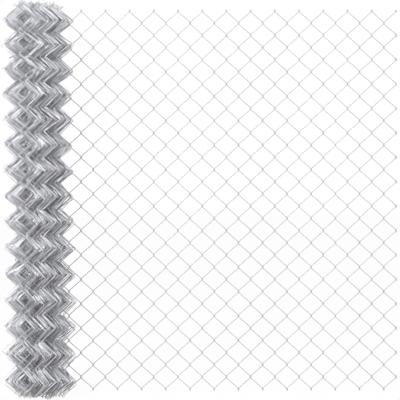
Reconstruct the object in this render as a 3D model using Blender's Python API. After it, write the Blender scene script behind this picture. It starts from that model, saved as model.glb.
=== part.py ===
# A compact roll of diamond mesh wire fence with its free end drawn out flat.
# Metres, +Z up. The front is -Y, the roll stands at the left and the panel runs from its back to +X.
import math

import bmesh
import bpy
import numpy as np
from mathutils import Matrix, Vector

# the mesh
fenceHeight = 1.25
diamondWidth = 0.0794
diamondHeight = 0.080
barSide = 0.00212  # a square bar with the metal of a 2.4 mm round wire
fitGap = 0.0003
hookShare = 0.78  # of a bar and a gap, so that hooked legs, a little flatter than 45 degrees, clear
endRise = 0.005  # what each wire stands out past its last crossing
panelWires = 29

# the cut edge at the right
cutReach = 0.0046
cutShare = 0.9  # of the bar's side, so that a stub's faces lie inside the wire's

# the roll: its mesh is folded into upright strips, each a wire wide, lying against each other
tipRadius = 0.112
turnCount = 6
turnShare = 0.098  # of the tip radius, from one turn of folded mesh to the next one inside it
turnGap = 0.0008  # between one turn and the next
sideFaces = 4  # of each turn on the left and on the right
leaning = math.radians(28)  # how far the strips in front lean forward, the others by the cosine
partShare = -0.03  # of a turn's radius: where the strips in front point to the left and to the right
meetWidth = 0.005  # between the grooves of the two sides where they meet
openShare = 0.84  # of the space between two meetings of the sides: what is open in the outer turn
openReach = (-1.5, -0.5)  # of the tip radius: from where to where the openings are cut
firstTip = 0.0585  # from the top
lastTip = 0.0583  # from the bottom
bowShare = 0.052  # the tips stand this much closer than even at the top, and further at the bottom
nearShare = 0.032  # the rows right in front lie this much closer
leanShare = -0.0085  # sideways travel of the roll's axis for its height
twist = math.radians(12.5)  # over the height, the front goes to the left further down
joinAngle = math.radians(70)  # over which the roll's bends come level with the panel's
startShift = 0.003  # of the panel's start to the left of the roll's axis

# the tie
tieSide = 0.0018
tieLevel = 4  # the tie lies in the groove at this row of bends
tieColumn = 8  # where its tail stands out, counted from the front round by the right
tieTail = 0.014
tieShare = 0.9  # of the way from its last column to its tail

wireColour = (0.56, 0.57, 0.59, 1.0)
rollColour = (0.47, 0.48, 0.51, 1.0)
tieColour = (0.40, 0.41, 0.43, 1.0)
wireRoughness = 0.38
wireMetallic = 0.75

# what follows from those
legs = round((fenceHeight - endRise - endRise) * 2 / diamondHeight)
columnStep = diamondWidth / 2
levelStep = (fenceHeight - endRise - endRise) / legs
planeShift = (barSide + fitGap) / 2  # of a leg from the panel's middle
hookReach = (barSide + fitGap) * hookShare  # of a bend past its column
stubReach = endRise - barSide / 2 * math.sqrt(0.5)
panelLength = panelWires * columnStep
tipCount = legs // 2
rollLevels = 2 * tipCount + 1
turnStep = tipRadius * turnShare
panelY = tipRadius + fitGap + planeShift + barSide / 2


def clearScene():
    for old in list(bpy.data.objects):
        bpy.data.objects.remove(old, do_unlink=True)


def makeCollection(name, shown):
    collection = bpy.data.collections.new(name)
    collection.hide_render = not shown
    bpy.context.scene.collection.children.link(collection)
    return collection


def makeMaterial(name, colour):
    material = bpy.data.materials.new(name)
    material.use_nodes = True
    shader = material.node_tree.nodes["Principled BSDF"]
    shader.inputs["Base Color"].default_value = colour
    shader.inputs["Roughness"].default_value = wireRoughness
    shader.inputs["Metallic"].default_value = wireMetallic
    material.diffuse_color = colour
    return material


def addObject(name, mesh, material, collection, parent):
    part = bpy.data.objects.new(name, mesh)
    mesh.materials.append(material)
    collection.objects.link(part)
    part.parent = parent
    return part


def finishMesh(body, name):
    bmesh.ops.recalc_face_normals(body, faces=body.faces)
    mesh = bpy.data.meshes.new(name)
    body.to_mesh(mesh)
    body.free()
    return mesh


def evenHeight(level):
    # of a bend in the panel, counted down from 0 at the top
    return fenceHeight - endRise - level * levelStep


def rollHeight(level):
    # of a bend in the roll, where the rows stand further apart towards the bottom
    share = (level - 1) / 2 / (tipCount - 1)
    bowed = share * (1 - bowShare * (1 - share))
    return fenceHeight - firstTip - (fenceHeight - firstTip - lastTip) * bowed


def awayShare(plan):
    # 0 at the back, where the panel starts, and 1 from the join angle on
    away = min(abs(math.atan2(plan.x, plan.y)) / joinAngle, 1)
    return away ** 2 * (3 - 2 * away)


def nearHeight(plan, height):
    middle = fenceHeight / 2
    return middle + (height - middle) * (1 - nearShare * max(-plan.y / tipRadius, 0))


def settle(plan, height):
    # The roll's twist and lean go with its height, and are left out where the panel starts.
    share = awayShare(plan)
    turned = Matrix.Rotation(share * twist * (height / fenceHeight - 0.5), 2) @ plan
    lean = share * leanShare * (height - fenceHeight / 2)
    return Vector((turned.x + lean, turned.y, height))


def rollPoint(plan, level):
    # Near the panel's start the roll takes the panel's heights.
    height = evenHeight(level) + awayShare(plan) * (rollHeight(level) - evenHeight(level))
    return settle(plan, nearHeight(plan, height))


def barRings(points, side, depth):
    # A square bar along the points, with two of its sides square to depth. Each ring lies in the
    # mitre plane of its corner, so that the bar keeps its thickness through a sharp bend, which a
    # bevelled curve doesn't.
    way = np.diff(points, axis=0)
    way /= np.linalg.norm(way, axis=1)[:, None]
    corners = [(-1, -1), (1, -1), (1, 1), (-1, 1)]
    rings = []
    for place, point in enumerate(points):
        before = way[max(place - 1, 0)]
        after = way[min(place, len(way) - 1)]
        leg = before if abs(before @ depth) < abs(after @ depth) else after
        across = np.cross(leg, depth)
        across /= np.linalg.norm(across)
        up = np.cross(across, leg)
        ring = np.array([across * i + up * j for i, j in corners]) * side / 2
        normal = before + after
        ring -= (ring @ normal / (leg @ normal))[:, None] * leg
        if rings:
            previous = rings[-1] - points[place - 1]
            turns = [np.roll(ring, turn, axis=0) for turn in range(len(corners))]
            ring = min(turns, key=lambda turned: np.linalg.norm(turned - previous))
        rings.append(ring + point)
    return rings


def barMesh(name, paths, side, depth=(0, 1, 0)):
    # one closed bar for each path, all in one mesh
    body = bmesh.new()
    for path in paths:
        rings = barRings(np.array(path, float), side, np.array(depth, float))
        rows = [[body.verts.new(corner) for corner in ring] for ring in rings]
        for low, high in zip(rows, rows[1:]):
            for i in range(4):
                j = (i + 1) % 4
                body.faces.new((low[i], low[j], high[j], high[i]))
        body.faces.new(rows[0][::-1])
        body.faces.new(rows[-1])
    return finishMesh(body, name)


def wirePath(topOnRight):
    # One wire of the mesh, a flattened spiral seen from the front. Its legs that fall to the right
    # lie in the front plane and the others in the back plane, and it passes through at each bend.
    left = -hookReach
    right = columnStep + hookReach
    front = -planeShift
    back = planeShift
    path = []
    for level in range(legs + 1):
        atRight = (level % 2 == 0) == topOnRight
        x = right if atRight else left
        z = evenHeight(level)
        inward = -1 if atRight else 1
        arriving, leaving = (front, back) if atRight else (back, front)
        if level == 0:
            path.append((x + inward * stubReach, arriving, z + stubReach))
        path.append((x, arriving, z))
        path.append((x, leaving, z))
        if level == legs:
            path.append((x + inward * stubReach, leaving, z - stubReach))
    return path


def makeWire(index, material, collection, parent):
    # the last column's top crossing is at the very top, and the columns alternate from there
    topOnRight = (panelWires - index) % 2 == 0
    name = f"panel_wire_{index:02d}"
    mesh = barMesh(name, [wirePath(topOnRight)], barSide)
    wire = addObject(name, mesh, material, collection, parent)
    wire.location = ((index - 1) * columnStep, 0, 0)
    return wire


def cutStubs():
    # the ends left of the next wire, cut off close to each of the last wire's bends
    paths = []
    x = columnStep + hookReach
    reach = cutReach - hookReach - barSide * cutShare / 2 * math.sqrt(0.5)
    for level in range(0, legs + 1, 2):
        z = evenHeight(level)
        paths.append([(x, -planeShift, z), (x + reach, -planeShift, z - reach)])
        if level:
            paths.append([(x, planeShift, z), (x + reach, planeShift, z + reach)])
    return paths


def sidePlan(radius, side):
    # The tip and the groove of each column of one side, from the front to the back, in plan.
    reach = columnStep * math.cos(leaning) / radius
    first = math.asin(side * partShare + reach)
    last = math.pi - math.asin(reach)
    columns = []
    for step in range(sideFaces + 1):
        away = first + (last - first) * step / sideFaces
        lean = leaning * math.cos(away)
        tip = Vector((side * math.sin(away), -math.cos(away))) * radius
        groove = tip - Vector((side * math.cos(lean), -math.sin(lean))) * columnStep
        columns.append([tip, groove])
    return columns


def turnPlan(radius):
    # The right side's columns, the one where the panel starts and the left side's columns. The
    # grooves of the two sides meet in front and at the back.
    right = sidePlan(radius, 1)
    left = sidePlan(radius, -1)
    half = Vector((meetWidth / 2, 0))
    for end in (0, -1):
        meeting = (right[end][1] + left[end][1]) / 2
        right[end][1] = meeting + half
        left[end][1] = meeting - half
    start = [Vector((-startShift, radius)), meeting]
    return right + [start] + left[::-1]


def columnPlaces(tip, groove):
    # a column of bends as a zigzag line, with a straight neck at each end
    bends = [rollPoint(groove if level % 2 == 0 else tip, level) for level in range(rollLevels)]
    top = settle(groove, nearHeight(groove, fenceHeight))
    return [top] + bends + [settle(groove, 0)]


def turnGrid(radius):
    # a turn's columns, each a line of places from the top down
    return [columnPlaces(tip, groove) for tip, groove in turnPlan(radius)]


def shellMesh(name, grids):
    # A closed wall between two rings of columns, or a solid inside one. Every cell between two
    # columns is split in the same way in every turn, so that the turns lie close together.
    body = bmesh.new()
    rings = [[[body.verts.new(place) for place in line] for line in grid] for grid in grids]
    columns = len(rings[0])
    rows = len(rings[0][0])
    for column in range(columns):
        for row in range(rows - 1):
            cell = [(column - 1, row), (column, row), (column, row + 1), (column - 1, row + 1)]
            onRight = column <= sideFaces
            if (row % 2 == 1) != onRight:
                cell = cell[1:] + cell[:1]
            for ring in rings:
                first, second, third, fourth = [ring[i][j] for i, j in cell]
                body.faces.new((first, second, third))
                body.faces.new((first, third, fourth))
    for row in (0, rows - 1):
        if len(rings) == 1:
            body.faces.new([line[row] for line in rings[0]])
            continue
        outer, inner = rings
        for column in range(columns):
            rim = [outer[column - 1][row], outer[column][row]]
            body.faces.new(rim + [inner[column][row], inner[column - 1][row]])
    bmesh.ops.triangulate(body, faces=body.faces)
    return finishMesh(body, name)


def makeTurn(index, material, collection, parent):
    name = "roll_outer_turn" if index == 0 else f"roll_turn_{index + 1:02d}"
    radius = tipRadius - index * turnStep
    grids = [turnGrid(radius)]
    if index < turnCount - 1:
        grids.append(turnGrid(radius - turnStep + turnGap))
    return addObject(name, shellMesh(name, grids), material, collection, parent)


def openingMesh(name):
    # a cutter for the lozenges between the sides of the outer turn, one at each row of tips
    grid = turnGrid(tipRadius)
    right = grid[0]
    left = grid[-1]
    body = bmesh.new()
    for row in range(2, rollLevels, 2):
        above = right[row - 1].lerp(left[row - 1], 0.5)
        below = right[row + 1].lerp(left[row + 1], 0.5)
        middle = right[row].lerp(left[row], 0.5)
        rings = []
        for reach in openReach:
            corners = [middle.lerp(end, openShare) for end in (above, right[row], below, left[row])]
            for corner in corners:
                corner.y = reach * tipRadius
            rings.append([body.verts.new(corner) for corner in corners])
        near, far = rings
        for i in range(4):
            body.faces.new((near[i - 1], near[i], far[i], far[i - 1]))
        body.faces.new(near)
        body.faces.new(far)
    return finishMesh(body, name)


def addCutter(part, name, mesh, operation, cutters):
    cutter = bpy.data.objects.new(name, mesh)
    cutter.display_type = "WIRE"
    cutter.hide_render = True
    cutters.objects.link(cutter)
    cutter.parent = part.parent
    cutter.location = part.location
    modifier = part.modifiers.new(name, "BOOLEAN")
    modifier.operation = operation
    modifier.solver = "EXACT"
    modifier.object = cutter


def makeTie(material, collection, parent):
    # a loop of tie wire lying in one groove, with its twisted tail standing out at the left
    columns = turnPlan(tipRadius)
    stand = tieSide + fitGap * 2
    path = []
    for place in range(len(columns)):
        groove = columns[(place + tieColumn) % len(columns)][1]
        path.append(rollPoint(groove * (1 + stand / groove.length), tieLevel))
    path.append(path[-1].lerp(path[0], tieShare))
    tail = path[0] + Vector((-tieTail, 0, -tieTail / 2))
    mesh = barMesh("tie_wire", [[tail] + path], tieSide, (0, 0, 1))
    return addObject("tie_wire", mesh, material, collection, parent)


def placeRoll(turn):
    # the object's box is centred, so the roll's axis goes by how far it reaches left and forward
    left = -min(vertex.co.x for vertex in turn.data.vertices)
    front = -min(vertex.co.y for vertex in turn.data.vertices)
    right = panelLength + cutReach - startShift
    back = panelY + planeShift + barSide / 2
    return Vector(((left - right) / 2, (front - back) / 2, 0))


def main():
    clearScene()
    fence = makeCollection("wire_fence", True)
    cutters = makeCollection("cutters", False)
    wireMaterial = makeMaterial("panel_wire", wireColour)
    rollMaterial = makeMaterial("wound_wire", rollColour)
    tieMaterial = makeMaterial("tie_wire", tieColour)
    roll = bpy.data.objects.new("roll_axis", None)
    panel = bpy.data.objects.new("panel_start", None)
    fence.objects.link(roll)
    fence.objects.link(panel)
    turns = [makeTurn(index, rollMaterial, fence, roll) for index in range(turnCount)]
    roll.location = placeRoll(turns[0])
    panel.location = roll.location + Vector((-startShift, panelY, 0))
    makeTie(tieMaterial, fence, roll)
    for index in range(1, panelWires + 1):
        wire = makeWire(index, wireMaterial, fence, panel)
    cutEdge = barMesh("cut_stubs", cutStubs(), barSide * cutShare)
    addCutter(wire, "cut_stubs", cutEdge, "UNION", cutters)
    addCutter(turns[0], "openings", openingMesh("openings"), "DIFFERENCE", cutters)


main()
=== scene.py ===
import math

import bpy
import numpy as np
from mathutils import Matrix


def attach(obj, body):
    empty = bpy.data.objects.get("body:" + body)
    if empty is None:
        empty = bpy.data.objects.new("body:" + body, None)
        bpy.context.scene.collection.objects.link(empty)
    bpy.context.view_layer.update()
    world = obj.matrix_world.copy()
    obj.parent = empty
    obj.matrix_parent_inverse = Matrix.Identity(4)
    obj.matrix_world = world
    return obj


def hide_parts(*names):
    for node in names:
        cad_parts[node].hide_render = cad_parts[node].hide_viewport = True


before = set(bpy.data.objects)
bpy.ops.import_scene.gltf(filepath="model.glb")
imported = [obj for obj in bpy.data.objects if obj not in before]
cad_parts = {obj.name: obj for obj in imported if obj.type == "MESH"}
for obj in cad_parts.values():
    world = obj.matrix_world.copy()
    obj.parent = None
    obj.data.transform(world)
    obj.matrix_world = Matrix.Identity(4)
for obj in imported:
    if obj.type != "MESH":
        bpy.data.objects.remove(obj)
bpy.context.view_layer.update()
print("frame loaded")

mesh = {
    "height": 1.25,
    "columnStep": 0.0397,  # from one column of bends to the next
    "legs": 31,  # of each wire, from its first bend at the top to its last at the bottom
    "endRise": 0.005,  # from the top to the first bend, and from the last to the ground
    "wireRadius": 0.0012,
    "panelWires": 29,
}
rng = np.random.default_rng(7)
levels = np.arange(mesh["legs"] + 1)
levelStep = (mesh["height"] - 2 * mesh["endRise"]) / mesh["legs"]


# wires as arrays

def zigzag(left, right, rightIsEven, heights, bend):
    # One zigzag wire for each row of left and right, the plan points of its two columns of bends.
    # It is a flattened spiral: along the strip it runs between the columns, each bend is a half
    # turn about an upright line, and its height falls evenly through the bend. Depth is +- half
    # the spiral's thickness on the legs, so legs that fall to the right lie in front.
    count = len(left)
    turn = np.linspace(-math.pi / 2, math.pi / 2, bend["points"])
    side = np.where((levels[None, :] % 2 == 0) == rightIsEven[:, None], 1.0, -1.0)
    span = right - left
    width = np.linalg.norm(span, axis=1)
    along = span / width[:, None]
    back = np.stack((-along[:, 1], along[:, 0]), axis=1)
    centre = (side[:, :, None] + 1) / 2 * width[:, None, None]
    run = centre + side[:, :, None] * bend["reach"] * np.cos(turn)
    depth = side[:, :, None] * bend["thickness"] / 2 * np.sin(turn)
    drop = heights[:, :, None] - bend["rise"] * turn / (math.pi / 2)
    run = run.reshape(count, -1)
    depth = depth.reshape(count, -1)
    drop = drop.reshape(count, -1)
    # the cut ends go on along the leg that isn't there, by a share of it
    for end, first, share in ((0, True, bend["topEnd"]), (-1, False, bend["bottomEnd"])):
        away = -side[:, end] * width * share
        climb = (levelStep - 2 * bend["rise"]) * share * (1 if first else -1)
        extra = (run[:, end] + away, depth[:, end], drop[:, end] + climb)
        joined = []
        for values, more in zip((run, depth, drop), extra):
            pair = (more[:, None], values) if first else (values, more[:, None])
            joined.append(np.concatenate(pair, axis=1))
        run, depth, drop = joined
    plan = left[:, None, :] + run[..., None] * along[:, None, :] + depth[..., None] * back[:, None, :]
    points = np.concatenate((plan, drop[..., None]), axis=2)
    return points, back


def tubeArrays(points, back, radius, sides):
    # A round bar along each row of points. Each ring lies square to the line's direction there,
    # set out from the strip's own depth direction, so that it never flips over.
    count, length = points.shape[:2]
    way = np.gradient(points, axis=1)
    way /= np.linalg.norm(way, axis=2, keepdims=True)
    depth = np.concatenate((back, np.zeros((count, 1))), axis=1)[:, None, :]
    across = np.cross(way, np.broadcast_to(depth, way.shape))
    across /= np.linalg.norm(across, axis=2, keepdims=True)
    out = np.cross(across, way)
    angle = np.arange(sides) * math.tau / sides
    ring = across[:, :, None] * np.cos(angle)[:, None] + out[:, :, None] * np.sin(angle)[:, None]
    places = (points[:, :, None] + ring * radius).reshape(-1, 3)
    number = np.arange(count * length * sides).reshape(count, length, sides)
    after = np.roll(number, -1, axis=2)
    walls = np.stack((number[:, :-1], after[:, :-1], after[:, 1:], number[:, 1:]), axis=-1)
    caps = np.concatenate((number[:, 0, ::-1], number[:, -1]))
    return places, walls.reshape(-1, 4), caps


def addPiece(name, places, faces, material, nodes):
    data = bpy.data.meshes.new(name)
    data.from_pydata(places.tolist(), [], faces)
    data.validate()
    data.polygons.foreach_set("use_smooth", np.ones(len(data.polygons), bool))
    data.materials.append(material)
    piece = bpy.data.objects.new(name, data)
    bpy.context.scene.collection.objects.link(piece)
    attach(piece, "root")
    if nodes:
        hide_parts(*nodes)
    return piece


def addWires(name, points, back, radius, sides, material, nodes, shade=None):
    places, walls, caps = tubeArrays(points, back, radius, sides)
    piece = addPiece(name, places, walls.tolist() + caps.tolist(), material, nodes)
    if shade is None:
        shade = rng.uniform(0, 1, len(points))
    # each wire's darkness towards the dull colour: a random tone, and on the roll painted shade as well
    tone_and_painted_shade = piece.data.attributes.new("tone_and_painted_shade", "FLOAT", "POINT")
    tone_and_painted_shade.data.foreach_set("value", np.repeat(shade, points.shape[1] * sides))
    return piece


# materials

surface = {
    "cloudScale": 38, "cloudDetail": 5,
    "dullFrom": 0.42, "dullTo": 0.68,  # the clouds' values where dullness starts and is full
    "spotScale": 260, "spotShare": 0.35,
    "grainScale": 900, "grainDetail": 3, "grainHeight": 0.0002,
    "cloudShare": 0.4,  # how far the clouds alone go to the dull colour
    "cloudRoughness": 0.16,  # how much rougher the dull clouds are
}


def buildMetalGroup():
    # Silver grey wire with clouds and small spots that are duller, and a fine grain in its height.
    # Each wire's own darkness comes from the value that addWires gives it: a random tone, and on the
    # roll also painted shade that darkens turns further in and the wires on the right.
    group = bpy.data.node_groups.new("drawnWire", "ShaderNodeTree")
    face = group.interface
    face.new_socket("Colour", in_out="INPUT", socket_type="NodeSocketColor")
    face.new_socket("Dull and shaded colour", in_out="INPUT", socket_type="NodeSocketColor")
    face.new_socket("Roughness", in_out="INPUT", socket_type="NodeSocketFloat")
    face.new_socket("Colour", in_out="OUTPUT", socket_type="NodeSocketColor")
    face.new_socket("Roughness", in_out="OUTPUT", socket_type="NodeSocketFloat")
    face.new_socket("Height", in_out="OUTPUT", socket_type="NodeSocketFloat")
    nodes, links = group.nodes, group.links
    given = nodes.new("NodeGroupInput")
    result = nodes.new("NodeGroupOutput")
    place = nodes.new("ShaderNodeTexCoord")
    cloud = nodes.new("ShaderNodeTexNoise")
    cloud.inputs["Scale"].default_value = surface["cloudScale"]
    cloud.inputs["Detail"].default_value = surface["cloudDetail"]
    grain = nodes.new("ShaderNodeTexNoise")
    grain.inputs["Scale"].default_value = surface["grainScale"]
    grain.inputs["Detail"].default_value = surface["grainDetail"]
    spots = nodes.new("ShaderNodeTexVoronoi")
    spots.inputs["Scale"].default_value = surface["spotScale"]
    for texture in (cloud, grain, spots):
        links.new(place.outputs["Object"], texture.inputs["Vector"])
    dull = nodes.new("ShaderNodeMapRange")
    dull.inputs["From Min"].default_value = surface["dullFrom"]
    dull.inputs["From Max"].default_value = surface["dullTo"]
    links.new(cloud.outputs["Fac"], dull.inputs["Value"])
    flake = nodes.new("ShaderNodeMath")
    flake.operation = "MULTIPLY_ADD"
    flake.inputs[1].default_value = surface["spotShare"]
    tone_and_painted_shade = nodes.new("ShaderNodeAttribute")
    tone_and_painted_shade.attribute_name = "tone_and_painted_shade"
    dulled_and_painted_shade = nodes.new("ShaderNodeMath")
    dulled_and_painted_shade.operation = "MULTIPLY_ADD"
    dulled_and_painted_shade.inputs[1].default_value = surface["cloudShare"]
    links.new(dull.outputs["Result"], dulled_and_painted_shade.inputs[0])
    links.new(tone_and_painted_shade.outputs["Fac"], dulled_and_painted_shade.inputs[2])
    links.new(spots.outputs["Color"], flake.inputs[0])
    links.new(dulled_and_painted_shade.outputs["Value"], flake.inputs[2])
    mix = nodes.new("ShaderNodeMix")
    mix.data_type = "RGBA"
    links.new(flake.outputs["Value"], mix.inputs["Factor"])
    links.new(given.outputs["Colour"], mix.inputs["A"])
    links.new(given.outputs["Dull and shaded colour"], mix.inputs["B"])
    links.new(mix.outputs["Result"], result.inputs["Colour"])
    rough = nodes.new("ShaderNodeMath")
    rough.operation = "MULTIPLY_ADD"
    rough.inputs[1].default_value = surface["cloudRoughness"]
    links.new(dull.outputs["Result"], rough.inputs[0])
    links.new(given.outputs["Roughness"], rough.inputs[2])
    links.new(rough.outputs["Value"], result.inputs["Roughness"])
    links.new(grain.outputs["Fac"], result.inputs["Height"])
    return group


def wireMaterial(name, settings, group):
    material = bpy.data.materials.new(name)
    material.use_nodes = True
    nodes, links = material.node_tree.nodes, material.node_tree.links
    shader = nodes["Principled BSDF"]
    shader.inputs["Metallic"].default_value = settings["metallic"]
    effect = nodes.new("ShaderNodeGroup")
    effect.node_tree = group
    effect.inputs["Colour"].default_value = (*settings["colour"], 1)
    effect.inputs["Dull and shaded colour"].default_value = (*settings["dull"], 1)
    effect.inputs["Roughness"].default_value = settings["roughness"]
    links.new(effect.outputs["Colour"], shader.inputs["Base Color"])
    links.new(effect.outputs["Roughness"], shader.inputs["Roughness"])
    bump = nodes.new("ShaderNodeBump")
    bump.inputs["Strength"].default_value = settings["bump"]
    bump.inputs["Distance"].default_value = surface["grainHeight"]
    links.new(effect.outputs["Height"], bump.inputs["Height"])
    links.new(bump.outputs["Normal"], shader.inputs["Normal"])
    return material


finishes = {
    "panel_wire": {
        "colour": (0.57, 0.58, 0.60), "dull": (0.48, 0.49, 0.51),
        "metallic": 0.35, "roughness": 0.5, "bump": 0.4,
    },
    "wound_wire": {
        # the dull colour is that of the dull clouds, and also the painted shade that the roll's inner
        # turns and right side go to
        "colour": (0.90, 0.90, 0.93), "dull": (0.33, 0.335, 0.36),
        "metallic": 0.7, "roughness": 0.40, "bump": 0.4,
    },
    "tie_wire": {
        "colour": (0.42, 0.43, 0.45), "dull": (0.24, 0.24, 0.25),
        "metallic": 0.7, "roughness": 0.4, "bump": 0.5,
    },
}
metalGroup = buildMetalGroup()
metals = {}
for finish, values in finishes.items():
    metals[finish] = wireMaterial(finish + "_finish", values, metalGroup)
print("materials made")


# the drawn out panel

panel = {
    "startX": -0.52124,
    "planeY": 0.11077,
    "sides": 8,
    "bend": {"reach": 0.0017, "thickness": 0.00275, "rise": 0.0026, "points": 5,
             "topEnd": 0.043, "bottomEnd": 0.043},
}
evenHeights = mesh["height"] - mesh["endRise"] - levels * levelStep


def buildPanel():
    for index in range(1, mesh["panelWires"] + 1):
        left = np.array([[panel["startX"] + (index - 1) * mesh["columnStep"], panel["planeY"]]])
        right = left + np.array([[mesh["columnStep"], 0]])
        rightIsEven = np.array([(mesh["panelWires"] - index) % 2 == 0])
        points, back = zigzag(left, right, rightIsEven, evenHeights[None, :], panel["bend"])
        name = f"panel_wire_{index:02d}"
        addWires(name + "_round", points, back, mesh["wireRadius"], panel["sides"],
                 metals["panel_wire"], [name])


def buildCutEnds():
    # Hooks left of the next wire: each goes round the last wire's bend and is cut a little past it.
    # Run is along the panel. The ends stick out to the right, one up and one down.
    edge = {"reach": 0.0017, "thickness": 0.00275, "rise": 0.0026, "points": 5, "out": 0.0028,
            "topEnd": 0.0004}
    turn = np.linspace(-math.pi / 2, math.pi / 2, edge["points"])
    column = panel["startX"] + mesh["panelWires"] * mesh["columnStep"]
    heights = evenHeights[::2]
    run = np.concatenate(([edge["out"]], -edge["reach"] * np.cos(turn), [edge["out"]]))
    depth = np.concatenate(([1], -np.sin(turn), [-1])) * edge["thickness"] / 2
    fall = -edge["rise"] * turn / (math.pi / 2)
    rise = np.concatenate(([edge["rise"] + edge["out"]], fall, [-edge["rise"] - edge["out"]]))
    points = np.empty((len(heights), len(run), 3))
    points[..., 0] = column + run
    points[..., 1] = panel["planeY"] + depth
    points[..., 2] = heights[:, None] + rise
    # the uppermost one would stand out above the mesh, so its upper end is cut shorter
    points[0, 0] = points[0, 1] + np.array([0, 0, edge["topEnd"]])
    back = np.tile(np.array([[0.0, 1.0]]), (len(heights), 1))
    addWires("cut_hooks", points, back, mesh["wireRadius"], panel["sides"],
             metals["panel_wire"], [])


buildPanel()
buildCutEnds()
print("panel made")


# the roll

roll = {
    "axisX": -0.51824,
    "axisY": -0.00344,
    "lean": -0.0085,  # how far to the right it goes for each metre up
    "twist": math.radians(12.5),  # over the full height, the front goes to the left further down
    "firstTip": 0.0585,  # from the top
    "lastTip": 0.0583,  # from the ground
    "bow": 0.052,  # the share by which rows at the top are closer than even, and at the bottom wider
    "nearShare": 0.032,  # the rows right in front lie this much closer
    "parting": -0.025,  # where the wires part in front, some to the left, some to the right
    "apex": 0.024,  # from there to the first tips of the outer turn on either side
    "cross": 0.0035,  # how much less that is for each turn further in
    "backApex": 0.035,  # the same at the back, from the middle of the roll
    "leaning": math.radians(28),  # how far strips right in front would turn to the front
    "tipRadius": 0.1055,  # at the tips of the loosest wires
    "radii": (0.096, 0.087, 0.078, 0.069, 0.060, 0.051),  # at the tips of each turn
    "pitch": 0.0079,  # between strips that lie against each other in the outer turn
    "looser": 0.155,  # how much wider that is, as a share, for each turn further in
    "looseCounts": (6, 12),  # wires standing out of the outer turn, on the left and on the right
    "looseAway": (math.radians(40), math.radians(120)),  # where they stand, from the front
    "centre": -0.004,  # of the dense wires, to the right of the axis
    "angleSteps": 400,
    "unevenShare": 0.35,  # of the way to its neighbour, how far a strip may stand off its place
    "depthShare": 1.08,  # the roll's depth from front to back for each metre of its width
    "joinAngle": math.radians(70),  # over which the bends come level with the panel's, from the back
    "neighbours": 5,  # wires that share a part of their disorder
    # the next four, as pairs: what neighbours share, and what each wire has on its own
    "slack": (0.0012, 0.0040),  # how far the tips lie further in
    "phase": (0.0010, 0.0044),  # how far a whole wire sits high or low
    "tilt": (0.0020, 0.0080),  # to the side for each metre up
    "turned": (0.06, 0.22),  # how far a strip is turned out of its place, in radians
    "wave": (0.0020, 0.0030),  # the long waves of a wire and the short ones
    "waveTurns": (1.7, 6.3),  # how many of each a wire has
    "uneven": 0.0022,  # how far each bend is off its height
    "cutShare": 0.5,  # how far a wire goes on past its lowest bend, in steps of that bend
    "endRoom": 0.00144,  # from a wire's middle to the ground or the top
    "turnPaintedShades": (-0.12, 0.0, 0.12, 0.22, 0.30, 0.36),  # painted shade: how much darker each turn is painted on average, more for turns further in
    "rightPaintedShade": 0.20,  # painted shade: how much darker the wires on the right are painted
    "shadeSpread": 0.55,  # how much single wires differ, all cut off at 0 and 1
    "sides": 5,
    "bend": {"reach": 0.0019, "thickness": 0.0040, "rise": 0.0030, "points": 5,
             "topEnd": 0.20, "bottomEnd": 0},
}


def rollHeights():
    # rows stand closer than even at the top and further apart at the bottom
    share = (levels - 1) / 2 / (mesh["legs"] // 2 - 1)
    bowed = share * (1 - roll["bow"] * (1 - share))
    span = mesh["height"] - roll["firstTip"] - roll["lastTip"]
    return mesh["height"] - roll["firstTip"] - span * bowed


def drift(count, amounts):
    # random numbers with a part that neighbours share and a part of each one's own
    width = roll["neighbours"]
    shared = np.convolve(rng.normal(0, 1, count + width - 1), np.ones(width) / math.sqrt(width), "valid")
    return amounts[0] * shared + amounts[1] * rng.normal(0, 1, count)


def familyPlan(turn, side):
    # Strips lie against each other along the turn, hooked in turn at their tips and grooves. Away
    # is the angle from the front. Each strip points out to its side and leans to the front by the
    # cosine of that angle, so the strips needed for an angle go with the sine of both together.
    radius = roll["radii"][turn]
    apex = side * roll["parting"] + roll["apex"] - roll["cross"] * turn - side * roll["centre"]
    first = math.asin(apex / radius)
    last = math.pi - math.asin((roll["backApex"] - roll["cross"] * turn) / radius)
    away = np.linspace(first, last, roll["angleSteps"])
    lean = roll["leaning"] * np.cos(away)
    strips = np.cumsum(np.sin(away + lean)) * (away[1] - away[0]) * radius
    strips /= roll["pitch"] * (1 + roll["looser"] * turn)
    count = int(strips[-1]) + 1
    place = np.arange(count) + rng.uniform(-roll["unevenShare"], roll["unevenShare"], count)
    away = np.interp(place, strips, away)
    distance = radius - np.abs(drift(count, roll["slack"]))
    if turn == 0:
        loose = roll["looseCounts"][(side + 1) // 2]
        away = np.concatenate((away, rng.uniform(*roll["looseAway"], loose)))
        stand = np.linspace(radius, roll["tipRadius"], loose + 1)[1:] - roll["centre"] * side
        distance = np.concatenate((distance, stand))
        count += loose
    outward = np.stack((np.sin(away) * side, -np.cos(away) * roll["depthShare"]), axis=1)
    tip = distance[:, None] * outward
    tip[:, 0] += roll["centre"]
    lean = roll["leaning"] * np.cos(away) + drift(count, roll["turned"])
    way = np.stack((np.cos(lean) * side, -np.sin(lean)), axis=1)
    return tip, tip - mesh["columnStep"] * way


def backShare(plan):
    # 0 for wires at the back, where the panel starts, and 1 from the join angle on, smoothly
    away = np.abs(np.arctan2(plan[:, 0], plan[:, 1])) / roll["joinAngle"]
    away = away.clip(0, 1)
    return away ** 2 * (3 - 2 * away)


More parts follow.
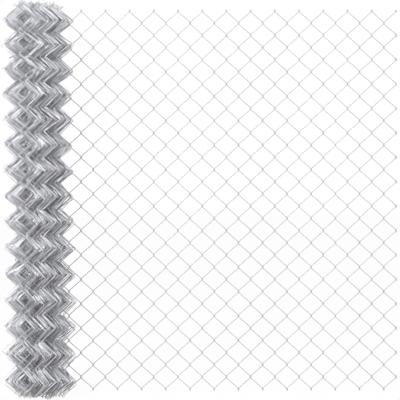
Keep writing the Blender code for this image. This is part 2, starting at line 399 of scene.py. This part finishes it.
def settle(points, share):
    # The roll's twist and lean go with height, by a share that is 0 where wires stand as the panel's
    # do. Rows in front lie a little closer together.
    middle = mesh["height"] / 2
    near = np.maximum(-points[..., 1] / roll["tipRadius"], 0)
    points[..., 2] = middle + (points[..., 2] - middle) * (1 - roll["nearShare"] * near)
    angle = share * roll["twist"] * (points[..., 2] / mesh["height"] - 0.5)
    x = points[..., 0] * np.cos(angle) - points[..., 1] * np.sin(angle)
    y = points[..., 0] * np.sin(angle) + points[..., 1] * np.cos(angle)
    points[..., 0] = x + roll["axisX"] + share * roll["lean"] * (points[..., 2] - middle)
    points[..., 1] = y + roll["axisY"]
    return points


def stripWires(tip, groove):
    # Tips are the bends at odd levels, and the strip's left end is its tip where it points to the
    # left. Each wire sits a little high or low, leans to one side and waves along its length.
    count = len(tip)
    pointsRight = tip[:, 0] > groove[:, 0]
    left = np.where(pointsRight[:, None], groove, tip)
    right = np.where(pointsRight[:, None], tip, groove)
    share = backShare(tip)[:, None]
    heights = evenHeights + share * (rollHeights() - evenHeights)
    heights = heights + drift(count, roll["phase"])[:, None]
    heights = heights + rng.normal(0, roll["uneven"], heights.shape)
    points, back = zigzag(left, right, ~pointsRight, heights, roll["bend"])
    # in front the last leg would end below the ground, so all are cut just past the bend above it
    points = points[:, :-roll["bend"]["points"]]
    points[:, -1] = points[:, -2] + (points[:, -2] - points[:, -3]) * roll["cutShare"]
    height = points[..., 2] / mesh["height"] - 0.5
    sway = drift(count, roll["tilt"])[:, None] * height * mesh["height"]
    for axis in (0, 1):
        for amount, turns in zip(roll["wave"], roll["waveTurns"]):
            start = rng.uniform(0, math.tau, (count, 1))
            points[..., axis] += amount * np.sin(height * turns * math.tau + start)
    points[..., 0] += sway
    points = settle(points, share)
    points[..., 2] = points[..., 2].clip(roll["endRoom"], mesh["height"] - roll["endRoom"])
    return points, back


def buildRoll():
    total = 0
    for turn in range(len(roll["radii"])):
        node = "roll_outer_turn" if turn == 0 else f"roll_turn_{turn + 1:02d}"
        plans = [familyPlan(turn, side) for side in (-1, 1)]
        tip, groove = (np.concatenate(both) for both in zip(*plans))
        points, back = stripWires(tip, groove)
        sides = np.repeat((-1, 1), [len(plan[0]) for plan in plans])
        # painted shade: turns further in and the wires on the right are painted darker, and each wire
        # has a random tone of its own on top
        shade = roll["turnPaintedShades"][turn] + roll["rightPaintedShade"] * (sides + 1) / 2
        shade = (shade + rng.normal(0, roll["shadeSpread"], len(tip))).clip(0, 1)
        piece = addWires(node + "_wires", points, back, mesh["wireRadius"], roll["sides"],
                         metals["wound_wire"], [node], shade)
        total += len(tip)
        print(node, len(tip), "wires,", len(piece.data.polygons), "faces")
    print("roll made of", total, "wires")


link = {
    "inset": 0.0004,
    "reach": (0.0150, -0.0367),  # in plan, from the panel's first column to the roll's
}


def buildLink():
    # the wire that hooks into the panel's first column and leads it into the roll
    start = np.array([[panel["startX"], panel["planeY"] - link["inset"]]])
    end = start + np.array([link["reach"]])
    points, back = zigzag(start, end, np.array([True]), evenHeights[None, :], panel["bend"])
    addWires("roll_link", points, back, mesh["wireRadius"], panel["sides"],
             metals["wound_wire"], [])


buildRoll()
buildLink()


# the tie

tie = {
    "radius": 0.0009,
    "level": 4,  # the second groove from the top
    "halfWidth": 0.076,
    "halfDepth": 0.066,
    "points": 72,
    "sides": 6,
    "rise": 0.0015,  # how uneven the loop is
    "tail": 0.012,
    "tailPoints": 24,
    "tailStart": 0.15,  # of the tail, where its strands leave the loop
    "tailFall": 0.45,  # for each metre of the tail
    "twists": 3,
    "strand": 0.0011,  # from the tail's middle to each strand's
}


def buildTie():
    # One turn round the roll in a groove, as an oval, a little uneven. Its two ends are twisted
    # together at the left: each is a screw line about the tail, half a turn from the other.
    height = rollHeights()[tie["level"]]
    angle = np.linspace(math.pi, -math.pi, tie["points"])
    around = np.stack((tie["halfWidth"] * np.cos(angle), tie["halfDepth"] * np.sin(angle),
                       height + tie["rise"] * np.sin(2 * angle)), axis=1)
    step = np.linspace(tie["tailStart"], 1, tie["tailPoints"])
    turned = step * tie["twists"] * math.tau
    fall = step * tie["tail"] * tie["tailFall"]
    ends = []
    for side in (0, math.pi):
        tail = np.stack((-tie["halfWidth"] - step * tie["tail"],
                         tie["strand"] * np.cos(turned + side),
                         height - fall + tie["strand"] * np.sin(turned + side)), axis=1)
        ends.append(tail)
    points = np.concatenate((ends[0][::-1], around, ends[1]))[None]
    points = settle(points, np.ones((1, 1)))
    addWires("tie_loop", points, np.array([[0.0, 1.0]]), tie["radius"], tie["sides"],
             metals["tie_wire"], ["tie_wire"])


buildTie()
print("tie made")


# floor, light and camera

studio = {
    "floorSize": 30,  # from the middle to each side
    "floorColour": (0.9, 0.9, 0.9),
    "floorRoughness": 0.9,
    "floorGlow": 0.96,  # how much of the floor the camera sees as plain white
    "white": (1, 1, 1, 1),
    "skyStrength": 0.55,  # as diffuse light, while the camera and reflections see plain white
    "lens": 75.74,  # fitted to the photo's panel, like the place of the camera
    "sensor": 36,
    "camera": (-0.01224, -2.649, 0.625),
}


def buildStage():
    size = studio["floorSize"]
    corners = np.array([[-size, -size, 0], [size, -size, 0], [size, size, 0], [-size, size, 0]], float)
    data = bpy.data.meshes.new("floor")
    data.from_pydata(corners.tolist(), [], [[0, 1, 2, 3]])
    floor = bpy.data.objects.new("floor", data)
    bpy.context.scene.collection.objects.link(floor)
    material = bpy.data.materials.new("floor_white")
    material.use_nodes = True
    nodes, links = material.node_tree.nodes, material.node_tree.links
    shader = nodes["Principled BSDF"]
    shader.inputs["Base Color"].default_value = (*studio["floorColour"], 1)
    shader.inputs["Roughness"].default_value = studio["floorRoughness"]
    shader.inputs["Specular IOR Level"].default_value = 0
    glow = nodes.new("ShaderNodeEmission")
    glow.inputs["Color"].default_value = studio["white"]
    mix = nodes.new("ShaderNodeMixShader")
    path = nodes.new("ShaderNodeLightPath")
    share = nodes.new("ShaderNodeMath")
    share.operation = "MULTIPLY"
    share.inputs[1].default_value = studio["floorGlow"]
    links.new(path.outputs["Is Camera Ray"], share.inputs[0])
    links.new(share.outputs["Value"], mix.inputs["Fac"])
    links.new(shader.outputs["BSDF"], mix.inputs[1])
    links.new(glow.outputs["Emission"], mix.inputs[2])
    links.new(mix.outputs["Shader"], nodes["Material Output"].inputs["Surface"])
    data.materials.append(material)


def buildWorld():
    world = bpy.data.worlds.new("studio")
    bpy.context.scene.world = world
    world.use_nodes = True
    nodes, links = world.node_tree.nodes, world.node_tree.links
    base = nodes["Background"]
    base.inputs["Color"].default_value = studio["white"]
    base.inputs["Strength"].default_value = studio["skyStrength"]
    white = nodes.new("ShaderNodeBackground")
    white.inputs["Color"].default_value = studio["white"]
    white.inputs["Strength"].default_value = 1
    path = nodes.new("ShaderNodeLightPath")
    either = nodes.new("ShaderNodeMath")
    either.operation = "MAXIMUM"
    seen = nodes.new("ShaderNodeMath")
    seen.operation = "MAXIMUM"
    links.new(path.outputs["Is Camera Ray"], either.inputs[0])
    links.new(path.outputs["Is Glossy Ray"], either.inputs[1])
    links.new(either.outputs["Value"], seen.inputs[0])
    links.new(path.outputs["Is Transmission Ray"], seen.inputs[1])
    mix = nodes.new("ShaderNodeMixShader")
    links.new(seen.outputs["Value"], mix.inputs["Fac"])
    links.new(base.outputs["Background"], mix.inputs[1])
    links.new(white.outputs["Background"], mix.inputs[2])
    links.new(mix.outputs["Shader"], nodes["World Output"].inputs["Surface"])


def addLamp(name, place, target, size, power):
    data = bpy.data.lights.new(name, "AREA")
    data.size = size
    data.energy = power
    lamp = bpy.data.objects.new(name, data)
    lamp.location = place
    way = np.array(target) - np.array(place)
    tilt = math.atan2(math.hypot(way[0], way[1]), -way[2])
    lamp.rotation_euler = (tilt, 0, math.atan2(-way[0], way[1]))
    bpy.context.scene.collection.objects.link(lamp)


def buildCamera():
    data = bpy.data.cameras.new("camera")
    data.lens = studio["lens"]
    data.sensor_width = studio["sensor"]
    camera = bpy.data.objects.new("camera", data)
    camera.location = studio["camera"]
    camera.rotation_euler = (math.pi / 2, 0, 0)
    bpy.context.scene.collection.objects.link(camera)
    bpy.context.scene.camera = camera


buildStage()
buildWorld()
addLamp("key", place=(-1.6, -2.4, 3.0), target=(-0.3, 0, 0.6), size=1.2, power=95)
addLamp("fill", place=(2.2, -2.0, 1.6), target=(0, 0, 0.6), size=1.6, power=18)
buildCamera()
bpy.context.scene.view_settings.view_transform = "Standard"
print("stage made")
